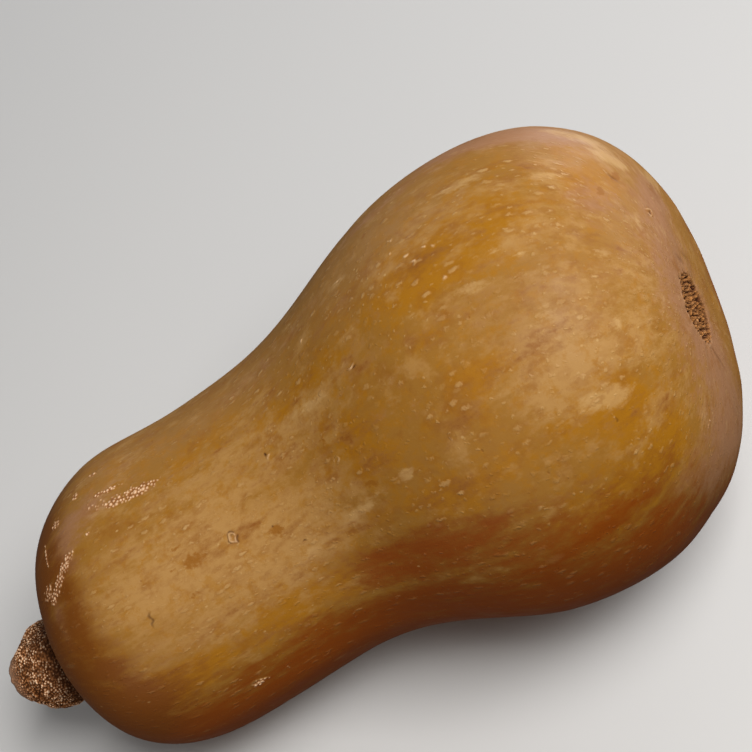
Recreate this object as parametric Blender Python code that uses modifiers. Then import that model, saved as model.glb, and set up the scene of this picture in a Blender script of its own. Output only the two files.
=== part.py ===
"""A butternut squash lying on its side, as picked, with the cut stub of its stem.

Metres, +Z up.  The squash lies along X with its stem at -X and its blossom end at +X.  The
origin is on the surface it lies on, under the middle of its bounding box.

The fruit is a turned body, swept along the line its core grew on, and flattened a little
where it lay on the ground: once under the neck and once under the bulb.  The blossom scar is
a round dish to one side of the blossom end.  The stem stub is a five-ridged cage, smoothed,
that sits in its own socket in the neck's end.
"""

import math

import bmesh
import bpy
from mathutils import Matrix, Vector

# Fruit, measured along its core from the stem end
FRUIT_LENGTH = 0.199
NECK_RADIUS = 0.0417
BULB_RADIUS = 0.060
SWELL_START = 0.067
SWELL_END = 0.1555
NECK_END_LENGTH = 0.040
NECK_END_FULLNESS = 2.5
BULB_END_LENGTH = 0.064
BULB_END_FULLNESS = 2.9

# Shallow hollow round the stem
STEM_HOLLOW_DEPTH = 0.0012
STEM_HOLLOW_RADIUS = 0.016

# Blossom scar, a round dish in the blossom end: how far it stands off the core to the side
# and upwards, its radius and its depth
SCAR_OFFSET = (-0.0151, 0.0139)
SCAR_RADIUS = 0.0088
SCAR_DEPTH = 0.0010
SCAR_DETAIL = 6

# The core's line from the stem end on: it bows sideways and rises into the bulb.  Its last
# point is past the blossom end, which it turns.
GROWTH_LINE = (
    (0.000, -0.0060, 0.0395),
    (0.031, -0.0050, 0.0406),
    (0.080, 0.0000, 0.0457),
    (0.127, 0.0000, 0.0547),
    (0.173, -0.0030, 0.0672),
    (0.257, -0.0215, 0.0786),
)

# Stem stub: its ridges, how far its grooves come in, each ring's distance from the fruit's
# end and its radius, and how far it stands off the core
STEM_RIDGES = 5
STEM_GROOVE = 0.86
STEM_RINGS = (
    (-0.0030, 0.0122),
    (-0.0010, 0.0132),
    (0.0045, 0.0142),
    (0.0090, 0.0129),
    (0.0142, 0.0096),
    (0.0178, 0.0076),
)
STEM_OFFSET = (-0.0032, -0.0022)
STEM_GAP = 0.0003

# Ground under the squash
GROUND_SIZE = 0.4
GROUND_DEPTH = 0.05

SLOPE_STEP = 0.0002

TURN_STEPS = 48
PROFILE_STEPS = 38
MERGE_DISTANCE = 0.00001
CURVE_RESOLUTION = 32
STEM_SMOOTHING = 2


def clear_scene():
    for old in list(bpy.data.objects):
        bpy.data.objects.remove(old, do_unlink=True)


def new_collection(name):
    collection = bpy.data.collections.new(name)
    bpy.context.scene.collection.children.link(collection)
    return collection


def new_object(name, data, collection, parent):
    thing = bpy.data.objects.new(name, data)
    collection.objects.link(thing)
    thing.parent = parent
    return thing


def make_guide(thing):
    thing.hide_render = True
    thing.display_type = "WIRE"


def skin_material(name, colour, roughness):
    material = bpy.data.materials.new(name)
    material.use_nodes = True
    shader = material.node_tree.nodes["Principled BSDF"]
    shader.inputs["Base Color"].default_value = (*colour, 1.0)
    shader.inputs["Roughness"].default_value = roughness
    shader.inputs["Metallic"].default_value = 0.0
    return material


def smooth_rise(t):
    """0 to 1 with no kink at either end."""
    t = min(max(t, 0.0), 1.0)
    return t * t * t * (t * (6.0 * t - 15.0) + 10.0)


def rounded_end(distance, length, fullness):
    """Share of the full radius at a distance from an end; a fuller end is blunter."""
    inward = max(1.0 - distance / length, 0.0)
    return (1.0 - inward**fullness) ** (1.0 / fullness)


def fruit_radius(along):
    swell = smooth_rise((along - SWELL_START) / (SWELL_END - SWELL_START))
    body = NECK_RADIUS + (BULB_RADIUS - NECK_RADIUS) * swell
    neck_end = rounded_end(along, NECK_END_LENGTH, NECK_END_FULLNESS)
    bulb_end = rounded_end(FRUIT_LENGTH - along, BULB_END_LENGTH, BULB_END_FULLNESS)
    return body * neck_end * bulb_end


def stem_hollow(along, radius):
    """How far the skin is drawn in round the stem."""
    if along > FRUIT_LENGTH / 2.0:
        return 0.0
    return STEM_HOLLOW_DEPTH * math.exp(-((radius / STEM_HOLLOW_RADIUS) ** 2))


def fruit_profile():
    """The turned outline from the blossom end down to the stem end."""
    points = []
    for step in range(PROFILE_STEPS + 1):
        along = FRUIT_LENGTH * (1.0 + math.cos(math.pi * step / PROFILE_STEPS)) / 2.0
        radius = fruit_radius(along)
        points.append((radius, 0.0, along + stem_hollow(along, radius)))
    return points


def make_growth_line(collection, parent):
    curve = bpy.data.curves.new("growth_line", "CURVE")
    curve.dimensions = "3D"
    curve.resolution_u = CURVE_RESOLUTION
    spline = curve.splines.new("BEZIER")
    spline.bezier_points.add(len(GROWTH_LINE) - 1)
    for point, place in zip(spline.bezier_points, GROWTH_LINE):
        point.co = place
        point.handle_left_type = "AUTO"
        point.handle_right_type = "AUTO"
    line = new_object("growth_line", curve, collection, parent)
    make_guide(line)
    return line


def follow(thing, line):
    """Sweeps a body modelled straight up Z along the growth line."""
    bend = thing.modifiers.new("follow_growth", "CURVE")
    bend.object = line
    bend.deform_axis = "POS_Z"


def cut(thing, cutter):
    boolean = thing.modifiers.new("cut_" + cutter.name, "BOOLEAN")
    boolean.operation = "DIFFERENCE"
    boolean.object = cutter


def make_fruit(collection, parent, line):
    mesh = bpy.data.meshes.new("fruit")
    points = fruit_profile()
    edges = [(i, i + 1) for i in range(len(points) - 1)]
    mesh.from_pydata(points, edges, [])
    fruit = new_object("fruit", mesh, collection, parent)
    turn = fruit.modifiers.new("turn", "SCREW")
    turn.axis = "Z"
    turn.steps = TURN_STEPS
    turn.render_steps = TURN_STEPS
    turn.use_merge_vertices = True
    turn.merge_threshold = MERGE_DISTANCE
    turn.use_smooth_shade = True
    follow(fruit, line)
    mesh.materials.append(skin_material("squash_skin", (0.45, 0.23, 0.055), 0.4))
    return fruit


def stem_cage(name):
    """Closed five-ridged cage round Z, its base in the fruit and its cut end at -Z."""
    sides = 2 * STEM_RIDGES
    vertices = []
    for distance, radius in STEM_RINGS:
        for side in range(sides):
            angle = 2.0 * math.pi * side / sides
            reach = radius if side % 2 == 0 else radius * STEM_GROOVE
            x = STEM_OFFSET[0] + reach * math.cos(angle)
            y = STEM_OFFSET[1] + reach * math.sin(angle)
            vertices.append((x, y, -distance))
    faces = [tuple(range(sides))]
    for ring in range(len(STEM_RINGS) - 1):
        low = ring * sides
        for side in range(sides):
            after = (side + 1) % sides
            faces.append((low + side, low + sides + side, low + sides + after, low + after))
    top = (len(STEM_RINGS) - 1) * sides
    faces.append(tuple(reversed(range(top, top + sides))))
    mesh = bpy.data.meshes.new(name)
    mesh.from_pydata(vertices, [], faces)
    return mesh


def smooth_stem(thing):
    smooth = thing.modifiers.new("smooth", "SUBSURF")
    smooth.levels = STEM_SMOOTHING
    smooth.render_levels = STEM_SMOOTHING


def make_stem(collection, parent, line):
    mesh = stem_cage("stem")
    mesh.shade_smooth()
    stem = new_object("stem", mesh, collection, parent)
    smooth_stem(stem)
    follow(stem, line)
    mesh.materials.append(skin_material("stem_cork", (0.24, 0.115, 0.055), 0.85))
    return stem


def make_stem_socket(collection, parent, line):
    """The stem's own shape, larger by the gap, which cuts its seat in the neck's end."""
    socket = new_object("stem_socket", stem_cage("stem_socket"), collection, parent)
    smooth_stem(socket)
    grow = socket.modifiers.new("gap", "DISPLACE")
    grow.mid_level = 0.0
    grow.strength = STEM_GAP
    follow(socket, line)
    make_guide(socket)
    return socket


def scar_ball():
    """Centre and radius of the ball that cuts the blossom scar's dish."""
    off_core = math.hypot(*SCAR_OFFSET)
    low, high = FRUIT_LENGTH - BULB_END_LENGTH, FRUIT_LENGTH
    while high - low > MERGE_DISTANCE:
        middle = (low + high) / 2.0
        if fruit_radius(middle) > off_core:
            low = middle
        else:
            high = middle
    run = fruit_radius(low - SLOPE_STEP) - off_core
    outward = Vector((SLOPE_STEP * SCAR_OFFSET[0], SLOPE_STEP * SCAR_OFFSET[1], run * off_core))
    radius = (SCAR_RADIUS**2 + SCAR_DEPTH**2) / (2.0 * SCAR_DEPTH)
    skin = Vector((*SCAR_OFFSET, low))
    return skin + outward.normalized() * (radius - SCAR_DEPTH), radius


def make_scar_cutter(collection, parent, line):
    """The ball, swept with the fruit, that dishes the blossom end where the flower was."""
    centre, radius = scar_ball()
    ball = bmesh.new()
    bmesh.ops.create_icosphere(
        ball, subdivisions=SCAR_DETAIL, radius=radius, matrix=Matrix.Translation(centre)
    )
    mesh = bpy.data.meshes.new("blossom_scar")
    ball.to_mesh(mesh)
    ball.free()
    cutter = new_object("blossom_scar", mesh, collection, parent)
    follow(cutter, line)
    make_guide(cutter)
    return cutter


def make_ground(collection, parent):
    """Block whose top is the surface at z = 0; it flattens what reaches below."""
    bpy.ops.mesh.primitive_cube_add(size=1.0, location=(0.0, 0.0, -GROUND_DEPTH / 2.0))
    ground = bpy.context.active_object
    ground.name = "ground"
    ground.scale = (GROUND_SIZE, GROUND_SIZE, GROUND_DEPTH)
    for old in list(ground.users_collection):
        old.objects.unlink(ground)
    collection.objects.link(ground)
    ground.parent = parent
    make_guide(ground)
    return ground


def centre_over_origin(root, things):
    """Moves the whole squash so that its bounding box is centred over the origin in X and Y."""
    bpy.context.view_layer.update()
    graph = bpy.context.evaluated_depsgraph_get()
    corners = []
    for thing in things:
        shown = thing.evaluated_get(graph)
        corners += [shown.matrix_world @ Vector(corner) for corner in shown.bound_box]
    for axis in (0, 1):
        low = min(corner[axis] for corner in corners)
        high = max(corner[axis] for corner in corners)
        root.location[axis] -= (low + high) / 2.0


def main():
    clear_scene()
    parts = new_collection("butternut_squash")
    guides = new_collection("guides_and_cutters")
    root = new_object("squash_origin", None, parts, None)
    line = make_growth_line(guides, root)
    fruit = make_fruit(parts, root, line)
    stem = make_stem(parts, root, line)
    cut(fruit, make_stem_socket(guides, root, line))
    cut(fruit, make_scar_cutter(guides, root, line))
    cut(fruit, make_ground(guides, root))
    centre_over_origin(root, (fruit, stem))


main()
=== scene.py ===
"""A butternut squash lying on its side, with the cut stub of its stem, on a plain pale stage.

Metres, +Z up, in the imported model's own frame.  The squash lies along X, its stem at -X and its
blossom end at +X.  Both pieces are shaped straight up Z first, stem end at z = 0, and are then
swept along the line that the core grew on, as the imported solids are.
"""

import math
from collections import namedtuple
from types import SimpleNamespace

import bmesh
import bpy
import numpy as np
from mathutils import Euler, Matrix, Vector, noise
from mathutils.kdtree import KDTree


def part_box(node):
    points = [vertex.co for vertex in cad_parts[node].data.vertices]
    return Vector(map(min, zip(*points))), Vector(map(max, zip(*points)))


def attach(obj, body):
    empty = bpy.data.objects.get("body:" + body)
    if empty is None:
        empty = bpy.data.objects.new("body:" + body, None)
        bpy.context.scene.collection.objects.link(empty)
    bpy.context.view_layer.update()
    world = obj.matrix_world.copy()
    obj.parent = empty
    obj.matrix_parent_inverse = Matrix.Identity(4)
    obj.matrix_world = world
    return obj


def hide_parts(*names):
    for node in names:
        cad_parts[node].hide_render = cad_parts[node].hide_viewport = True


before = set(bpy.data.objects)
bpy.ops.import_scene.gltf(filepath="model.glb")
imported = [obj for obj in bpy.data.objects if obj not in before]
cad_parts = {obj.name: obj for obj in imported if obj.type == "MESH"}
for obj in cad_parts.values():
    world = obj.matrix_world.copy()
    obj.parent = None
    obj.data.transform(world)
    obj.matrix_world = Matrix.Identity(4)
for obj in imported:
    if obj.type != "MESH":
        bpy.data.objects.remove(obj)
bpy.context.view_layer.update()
FRUIT_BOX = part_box("fruit")

bl_info = {
    "name": "Butternut squash",
    "version": (1, 0, 0),
    "blender": (4, 5, 0),
    "location": "View3D > Sidebar > Squash",
    "description": "Builds a butternut squash on its side, its stem stub and a plain stage",
    "category": "Add Mesh",
}

MM = 0.001

# The core's line from the stem end on, before the squash is centred over the origin, and the
# furthest that the swept fruit reaches along it to +X and to +Y
GROWTH_LINE = (
    (0.000, -0.0060, 0.0395),
    (0.031, -0.0050, 0.0406),
    (0.080, 0.0000, 0.0457),
    (0.127, 0.0000, 0.0547),
    (0.173, -0.0030, 0.0672),
    (0.257, -0.0215, 0.0786),
)
SWEPT_REACH = (0.1993270, 0.0591362)
CURVE_RESOLUTION = 32

# The fruit's ends and the shallow hollow round the stem
NECK_END_LENGTH = 0.040
NECK_END_FULLNESS = 2.5
BULB_END_LENGTH = 0.064
BULB_END_FULLNESS = 2.9
STEM_HOLLOW_DEPTH = 0.0012
STEM_HOLLOW_RADIUS = 0.016
OUTLINE_STEPS = 2400
NORMAL_STEP = 0.0004
FAR_AWAY = 1.0
SLIGHT = 0.00001
SCAR_PLANE_DROP = 0.030

# The fruit's mesh: a box whose two ends become round caps and whose sides become rings
CAP_DIVISIONS = 60
RING_DIVISIONS = 140
BLOSSOM_CAP = 0.036
STEM_CAP = 0.020

# How finely and how far the edges of small marks stray, and the seed they stray by
RAGGED_SIZE = 0.0016
RAGGED_REACH = 0.0009
RAGGED_SEED = 1

# How close to a small mark each halving of the mesh goes.  The halvings finer than the last
# margin leave out the bruises.
REFINE_MARGINS = (0.0030, 0.0016, 0.0007)
FINEST_MARGIN = 0.001

# The skin's grain: the radius its streaks are laid out at, how soon they open out round the
# blossom scar, and how far from the blossom end they swing towards it
GRAIN_RADIUS = 0.050
GRAIN_CLOSING = 0.016
GRAIN_SWING = 0.075

# Low swellings and hollows of the body: place along the core, turn round it, reach along,
# reach round, height
SWELLINGS = (
    (38, 50, 13, 30, 0.8),
    (62, 53, 12, 28, -0.5),
    (142, 58, 12, 28, -0.5),
    (168, 45, 14, 30, 0.6),
    (128, 200, 14, 26, 0.6),
    (176, 205, 12, 26, -0.6),
    (195, 240, 8, 34, 0.5),
    (10, 98, 8, 30, -0.6),
)

# Blossom scar: its centre off the core, its radius, how much narrower it is across, the cells
# of its cracked cork and their stretch, and the depth and reach of the hollow it lies in
SCAR_OFFSET = (-0.0151, 0.0139)
SCAR_RADIUS = 0.0088
SCAR_NARROWING = 0.82
SCAR_CELL = 0.0011
SCAR_CELL_STRETCH = 0.8
SCAR_HOLLOW_DEPTH = 0.0010
SCAR_HOLLOW_REACH = 0.013

# The scar's relief, in millimetres: how deep its floor lies, its rim, the plates of its cork,
# the wide and the fine cracks between them, and the tucks in the skin round it
SCAR_FLOOR = 0.20
SCAR_RIM = 0.15
SCAR_PLATES = 0.35
SCAR_CRACKS = 0.80
SCAR_FINE_CRACKS = 0.30
SCAR_TUCKS = 0.30

# Relief of the skin, in millimetres
LOBE_HEIGHT = 0.30
FLUTE_HEIGHT = 0.20
CORK_THICKNESS = 0.04
CORK_GRAIN_HEIGHT = 0.24
RING_HEIGHT = 0.14
RING_GROOVE_DEPTH = 0.10
DOT_HEIGHT = 0.20
FLECK_DEPTH = 0.22
CREASE_DEPTH = 0.35

# Sizes of what the relief is made of, and how much of the grain's length lobes and flutes read
LOBE_SIZE = 0.030
LOBE_SHARE = 0.35
FLUTE_SIZE = 0.011
FLUTE_SHARE = 0.10
CORK_EDGE_SIZES = (0.0016, 0.0007)
CORK_GRAIN_SPACING = 0.00095

# Corky beads, as shares of their spacing: the least and most gap between two, their radius and
# how high their tops are.  Each point feels the nearest few.
BEAD_GAPS = (0.8, 1.25)
BEAD_RADII = (0.45, 0.72)
BEAD_TOPS = (0.65, 1.0)
BEAD_ROUNDNESS = 1.2
BEAD_NEIGHBOURS = 4

Mark = namedtuple("Mark", "along turn length width amount slant", defaults=(0,))


def mark_table(*rows):
    return tuple(Mark(*row) for row in rows)


# Marks on the skin: place along the core and turn round it, in millimetres and degrees, then
# half length, half width and strength, and the slant towards the turn of those that have one
# Pale streaks and dashes; the two marks at 186 mm, 52° and 191 mm, 62° are a painted highlight,
# the glare along the bulb's upper edge
PALE_AND_GLARE_MARKS = mark_table(
    (106, 104, 9, 1.8, 0.8, 8), (121.5, 102, 2.5, 1.2, 0.6), (147, 103.5, 6, 1.6, 0.6),
    (161.5, 105.5, 4, 1.8, 0.7, 10), (186, 107, 3, 1.8, 0.6), (122, 79.5, 11, 1.8, 0.6),
    (165, 74.5, 8, 2.4, 0.7), (180, 79.5, 7, 1.8, 0.7), (186, 52, 9, 4, 0.9),
    (191, 62, 6, 4, 0.9), (174, 141, 6, 3.8, 0.8), (179, 144, 4, 3, 0.5),
    (168, 99, 2, 0.8, 0.8), (172, 102.5, 2.4, 0.9, 0.8), (175, 98.5, 1.8, 0.8, 0.7),
    (193, 95, 3, 4, 0.5), (196, 40, 6, 9, 0.6), (184, 126, 2.4, 3.2, 0.6),
    (80, 143.5, 18, 3.2, 0.45, -14), (105, 137, 13, 1.8, 0.7, -12),
    (123, 133.5, 3.2, 1.6, 0.8, 10), (65, 97.5, 5, 1.2, 0.5), (88, 110, 6, 2.2, 0.5),
    (172, 118, 6, 3, 0.4),
)
TAN = mark_table(
    (171, 94, 9, 8, 0.9), (171, 136, 9, 8, 1), (187, 134, 6, 7, 0.7), (60, 123, 38, 17, 1),
    (92, 141, 24, 6, 0.6, -10), (102, 103, 14, 5, 0.5, 8), (165, 120, 22, 26, 0.45),
    (160, 76, 14, 8, 0.5),
)
GOLD = mark_table(
    (152, 93, 12, 10, 1.2), (154, 122, 10, 8, 0.6), (184, 63, 7, 7, 0.6),
    (188, 80, 7, 9, 0.8), (130, 144, 35, 8, 0.7), (60, 78, 30, 5, 0.5),
    (78, 157, 34, 5, 0.65), (181, 155, 9, 14, 1), (165, 166, 18, 9, 0.7),
    (110, 96, 30, 4, 0.6), (118, 122, 16, 13, 0.5), (170, 90, 12, 14, 0.5),
    (68, 89, 14, 4, 0.5), (12, 80, 5, 9, 0.7), (31, 157, 13, 6, 0.9),
)
# Dull rosy brown skin at the blossom end; the marks along the bulb's upper edges are partly a
# painted sheen, the cool reflection at those grazing edges
ROSY_AND_SHEEN_MARKS = mark_table(
    (197, 122, 13, 20, 0.75), (194, 200, 12, 20, 1), (198, 160, 8, 12, 0.7),
    (186, 88, 7, 8, 0.6), (184, 192, 10, 14, 0.7), (176, 54, 16, 8, 0.6),
    (186, 62, 14, 10, 0.35), (166, 52, 18, 7, 0.8), (140, 62, 18, 5, 0.6),
    (96, 76, 34, 5, 0.4), (30, 84, 16, 5, 0.65), (22, 96, 8, 8, 0.65), (13, 118, 4, 8, 0.8),
    (132, 118, 9, 8, 0.35), (178, 178, 8, 7, 0.3), (196.5, 66, 7, 12, 0.8),
)
# Darker skin round the stem, partly painted shade: the stem's shadow on the stem end, and a
# darkening of a few patches on the bulb where the lights fall strongly
BROWN_AND_SHADE_MARKS = mark_table(
    (20, 160, 12, 12, 0.85), (34, 160, 10, 8, 0.35), (10, 130, 13, 26, 0.65),
    (14, 98, 10, 16, 0.3), (146, 124, 11, 9, 0.25), (189, 86, 9, 14, 0.3),
    (152, 90, 9, 9, 0.3),
)
# Painted shade: patches along the underside where the skin is darkened to a deeper red-brown
UNDERSIDE_SHADE_MARKS = mark_table(
    (100, 157, 15, 8, 0.65), (125, 157, 20, 10, 0.8), (152, 169, 24, 9, 0.75),
    (179, 174, 12, 12, 0.4),
)
BRUISES = mark_table(
    (53.4, 123.6, 3.9, 2.1, 0.7), (51, 116.4, 2.2, 0.55, 0.8),
    (48.5, 133.3, 2.6, 1.5, 0.45), (47.2, 122, 0.9, 0.6, 0.5),
    (112.3, 131.8, 3, 1.1, 0.9, 8), (104.5, 115.5, 1.6, 1.5, 0.6),
    (114, 123.5, 1.8, 1, 0.5), (79, 130.2, 2.3, 1.9, 0.8, 30),
    (191.7, 73.5, 1.1, 2, 1.1, 30), (188.9, 84, 1, 1.6, 1, 20),
    (195.6, 84.2, 1.5, 1.7, 0.9), (139.5, 71.2, 1.2, 0.8, 1.2, -25),
)
CORK = mark_table(
    (46.5, 89.6, 8.6, 1.9, 1, 6), (38.8, 81.8, 5.4, 0.8, 0.9, 8),
    (37, 86, 4.5, 2, 0.35, 20), (18.5, 102, 9, 1.7, 0.9, -32), (11.5, 104, 3.5, 3, 0.7),
    (29.5, 74, 1.5, 1.3, 1), (20.5, 78.8, 2.6, 1.8, 0.7), (36, 68.2, 1.9, 0.9, 0.8, 20),
    (14.2, 87, 0.5, 4.2, 1), (31.2, 94.2, 0.6, 0.5, 1), (47.8, 177, 2.4, 1.2, 0.8, 10),
    (56, 179, 0.8, 1.4, 0.7), (191, 173, 1.1, 1.1, 0.5),
)
RINGS = mark_table(
    (66.3, 124, 1.25, 1.5, 1), (195.6, 84.2, 1.5, 1.6, 0.8), (106.2, 121.5, 1.3, 0.7, 0.7),
    (139.8, 131, 0.6, 0.6, 0.6),
)
FLECKS = mark_table(
    (86.1, 106.8, 0.4, 0.4, 0.9), (83.8, 137.6, 0.7, 0.25, 0.7, 20),
    (78.4, 128.6, 0.35, 0.3, 0.7, 30), (36.9, 133.2, 0.3, 1.9, 0.6),
    (123.9, 104.5, 0.9, 0.3, 0.8), (175.2, 147.8, 0.3, 0.25, 0.5),
    (195.6, 84.2, 0.5, 0.6, 0.7), (127, 79.3, 0.8, 0.3, 0.4),
)
CREASES = mark_table(
    (197.6, 172.6, 0.5, 5, 0.45), (198, 103.5, 2.6, 0.8, 0.4, 12),
    (198.4, 96.5, 2.4, 0.8, 0.3, 6), (191.2, 74.5, 1.8, 0.5, 0.5, 30),
)
DOTS = mark_table(
    (123.2, 103.8, 0.9, 0.35, 1), (110, 84.5, 0.5, 0.4, 0.8), (126.4, 78.6, 0.9, 0.4, 0.9),
    (151.4, 88.8, 0.45, 0.45, 0.9), (152.6, 91.8, 0.6, 0.4, 1),
    (155.8, 89.6, 0.4, 0.4, 0.9), (158, 90.2, 0.4, 0.4, 0.6), (157.6, 100, 0.4, 0.6, 0.8),
    (148.2, 81.2, 0.4, 0.5, 0.7), (147.6, 85.4, 0.4, 0.5, 0.7),
    (175, 147.3, 0.25, 0.25, 0.5), (86.9, 107.8, 0.5, 0.4, 0.6),
)

# Stem: each ring's distance from the fruit's end and its radius
STEM_RINGS = (
    (-0.0030, 0.0122),
    (-0.0010, 0.0132),
    (0.0045, 0.0142),
    (0.0090, 0.0127),
    (0.0138, 0.0094),
    (0.0168, 0.0070),
)
STEM_OFFSET = (-0.0032, -0.0022)
STEM_SMOOTHING = 5

# Lumps and dents on the stem: their middle round the stem's own axis, reach and height
STEM_LUMPS = (
    ((-0.0087, -0.0068, -0.0093), 0.0045, 1.0),
    ((0.0080, 0.0081, -0.0074), 0.0032, 1.1),
    ((0.0045, 0.0067, -0.0142), 0.0030, -0.4),
)

# The cut end: how far each inner ring comes in, and how far it sinks
STEM_END_INSETS = ((0.0010, 0.0), (0.0012, 0.0006))

# Relief of the stem, in millimetres
STEM_LUMP_HEIGHT = 0.50
STEM_WRINKLE_HEIGHT = 0.22
STEM_FISSURE_DEPTH = 0.12
STEM_BEAD_HEIGHT = 0.30
STEM_ROW_HEIGHT = 0.20
STEM_GRIT_HEIGHT = 0.07

# Patterns of the skin's colours: how much of the grain's length they read, or None where they
# don't follow the grain, then size, detail and roughness
SKIN_PATTERNS = {
    "broad": (0.25, 0.015, 2.0, 0.5),
    "bands": (0.20, 0.0055, 3.0, 0.6),
    "streaks": (0.16, 0.0018, 3.0, 0.6),
    "edge": (0.5, 0.0030, 5.0, 0.72),
    "blush": (0.6, 0.0075, 4.0, 0.7),
    "speckled": (0.5, 0.011, 3.0, 0.6),
    "clouds": (None, 0.017, 3.0, 0.6),
    "mottle": (None, 0.0038, 5.0, 0.72),
    "shade": (None, 0.0065, 4.0, 0.68),
    "stain": (None, 0.0013, 3.0, 0.7),
    "grit": (None, 0.0006, 2.0, 0.6),
    "peel": (None, 0.00075, 2.0, 0.6),
    "satin": (None, 0.006, 3.0, 0.5),
}

# Specks in the skin: how much of the grain's length they read, the size of their cells, their
# radius in cells, and the share of the cells that have one
DASHES = (0.40, 0.0019, 0.34, 0.8)
SMALL_DOTS = (0.60, 0.0012, 0.34, 0.6)
FLAKES = (0.40, 0.0060, 0.24, 0.3)
SPARKS = (0.70, 0.0042, 0.10, 0.5)
PITS = (1.0, 0.0060, 0.075, 0.4)

# Lights: name, turn and rise in degrees, size and colour
LIGHTS = (
    ("key", 55.0, 61.0, 0.5, (1.0, 0.98, 0.95)),
    ("rim", 108.0, 10.0, 0.4, (1.0, 0.97, 0.97)),
    ("edge", 145.0, 4.0, 0.4, (1.0, 0.97, 0.95)),
    ("back", 200.0, 22.0, 0.5, (0.92, 0.96, 1.0)),
    ("fill", -32.0, 5.0, 0.5, (1.0, 0.86, 0.72)),
)
LIGHT_AIM = (0.0, 0.0, 0.05)
LIGHT_DISTANCE = 0.9
FLOOR_SIDES = 96
FLOOR_CLOUD_SIZE = 0.25
FLOOR_DIMMING = 0.97

# Camera: the point it looks at, its distance, and its turn, rise and roll in degrees
CAMERA_AIM = (0.0176, 0.0172, 0.0633)
CAMERA_DISTANCE = 0.400
CAMERA_TURN = 9.03
CAMERA_RISE = 49.11
CAMERA_ROLL = -30.73
CAMERA_LENS = 71.8
CAMERA_SENSOR = 36.0


# ---------------------------------------------------------------- settings


def colour_setting(name, description, default):
    return bpy.props.FloatVectorProperty(
        name=name,
        description=description,
        subtype="COLOR",
        size=3,
        min=0.0,
        max=1.0,
        default=default,
    )


def length_setting(name, description, default):
    return bpy.props.FloatProperty(
        name=name, description=description, default=default, unit="LENGTH"
    )


def power_setting(name, description, default):
    return bpy.props.FloatProperty(
        name=name, description=description, default=default, unit="POWER"
    )


class SquashFruitSettings(bpy.types.PropertyGroup):
    length: length_setting(
        "Core length", "Length of the fruit along the line its core grew on", 0.199
    )
    neck_radius: length_setting("Neck radius", "Radius of the neck", 0.0417)
    bulb_radius: length_setting("Bulb radius", "Radius of the bulb at its widest", 0.060)
    swell_start: length_setting(
        "Swell start", "Where the neck begins to widen into the bulb", 0.067
    )
    swell_end: length_setting("Swell end", "Where the bulb reaches its full radius", 0.1555)
    ochre: colour_setting("Ochre", "The skin's main colour", (0.290, 0.133, 0.020))
    tan: colour_setting("Tan", "The paler skin on top of the neck and bulb", (0.387, 0.207, 0.061))
    gold: colour_setting("Gold", "The riper streaks and patches", (0.325, 0.133, 0.005))
    # Also the colour of a painted highlight: the glare on the bulb's upper edge
    pale: colour_setting("Pale", "Pale streaks, specks and dashes", (0.520, 0.325, 0.130))
    # Also the colour of a painted sheen along the bulb's upper edges
    rosy: colour_setting(
        "Rosy", "The dull rosy brown skin at the blossom end", (0.318, 0.153, 0.070)
    )
    # Painted shade: the deeper red-brown that the skin facing down is darkened to
    underside_shade: colour_setting("Deep", "The red-brown skin underneath", (0.235, 0.050, 0.001))
    # Partly painted shade: also the stem's shadow on the stem end and a few darkened patches on
    # the bulb
    brown: colour_setting("Brown", "The darker skin round the stem", (0.170, 0.048, 0.003))
    # Real bruises, and painted shade: the halo beside the raised specks, the hollows of the tucks
    # round the scar and the step towards the underside shade
    bruise: colour_setting(
        "Bruise", "Bruises and the skin beside the raised specks", (0.235, 0.082, 0.008)
    )
    scar_cork: colour_setting("Scar cork", "The cork of the blossom scar", (0.47, 0.20, 0.055))
    # Real dark flecks, and painted shade: the near-black of the scar's cracks, the creases and the
    # hollows between the cork's grains
    crack: colour_setting(
        "Crack", "Cracks in the scar and the darkest flecks", (0.045, 0.009, 0.002)
    )


class SquashStemSettings(bpy.types.PropertyGroup):
    ridges: bpy.props.IntProperty(
        name="Ridges", description="Ridges along the stem", default=5, min=3, max=8
    )
    groove: bpy.props.FloatProperty(
        name="Groove",
        description="How far the stem's grooves come in, as a share of its radius",
        default=0.86,
        subtype="FACTOR",
    )
    bead_spacing: length_setting("Bead spacing", "Distance between the corky beads", 0.00072)
    cork: colour_setting("Cork", "The dry cork's middle colour", (0.40, 0.155, 0.050))
    # Mostly painted shade: the near-black laid in the cork's hollows, fissures and dips between
    # rows, and where the stem meets the fruit; it also darkens random patches of the cork
    crevice_shade: colour_setting("Crevice", "The cork's cracks and hollows", (0.022, 0.005, 0.001))
    # Painted highlight: the near-white on the tops of the cork's beads
    bead: colour_setting("Bead", "The worn tops of the cork's beads", (1.00, 0.70, 0.46))
    end_light: colour_setting("End", "The wood of the cut end", (0.30, 0.19, 0.13))
    end_dark: colour_setting("End fibres", "The fibres in the cut end", (0.10, 0.05, 0.03))


class SquashStageSettings(bpy.types.PropertyGroup):
    floor_radius: length_setting("Floor radius", "Radius of the floor", 3.0)
    floor_colour: colour_setting("Floor", "Colour of the floor", (0.60, 0.60, 0.60))
    key_power: power_setting("Key power", "Power of the main light", 9.5)
    rim_power: power_setting("Rim power", "Power of the light at the side", 2.6)
    edge_power: power_setting("Edge power", "Power of the low light behind the blossom end", 2.5)
    back_power: power_setting("Back power", "Power of the light behind", 1.1)
    fill_power: power_setting("Fill power", "Power of the low light in front", 2.2)
    sky_strength: bpy.props.FloatProperty(
        name="Sky strength", description="Strength of the light all round", default=0.08
    )


# ---------------------------------------------------------------- tools


def deselect_all():
    if bpy.context.object and bpy.context.object.mode != "OBJECT":
        bpy.ops.object.mode_set(mode="OBJECT")
    bpy.ops.object.select_all(action="DESELECT")


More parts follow.
